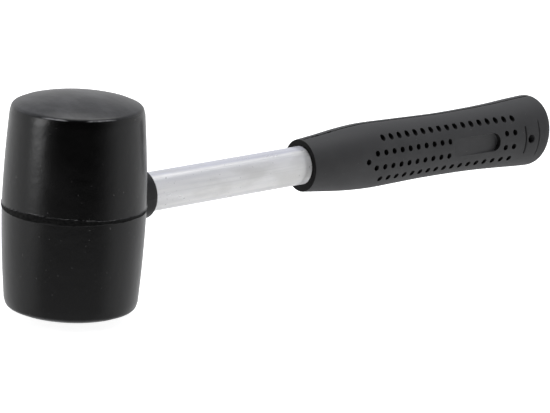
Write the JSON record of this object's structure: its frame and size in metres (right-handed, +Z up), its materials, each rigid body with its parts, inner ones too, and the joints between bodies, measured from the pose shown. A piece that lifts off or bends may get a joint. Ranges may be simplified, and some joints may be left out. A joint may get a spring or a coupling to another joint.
{
  "type": "rubber mallet",
  "caption": "Solid black rubber mallet head with domed faces on a plated steel tube, with a perforated rubber grip and a hanging hole in its butt",
  "frame": {"origin": "middle of the small flat on the lower striking face", "axes": "+Z up the head's axis to the upper face, +X along the handle from the head to its butt, +Y sideways; metres"},
  "size_m": [0.3269, 0.0652, 0.1014],
  "materials": {
    "head_rubber": "satin moulded rubber",
    "plated_steel": "bright plated, fine lengthwise streaks",
    "plug_wood": "turned hardwood, hidden",
    "pin_steel": "plain steel, hidden",
    "end_plug_plastic": "moulded plastic, hidden",
    "grip_rubber": "matte moulded rubber"
  },
  "bodies": {
    "root": {"head": "head_rubber", "handle_tube": "plated_steel", "head_plug": "plug_wood", "retaining_pin": "pin_steel", "tube_end_plug": "end_plug_plastic", "grip": "grip_rubber"}
  },
  "joints": []
}
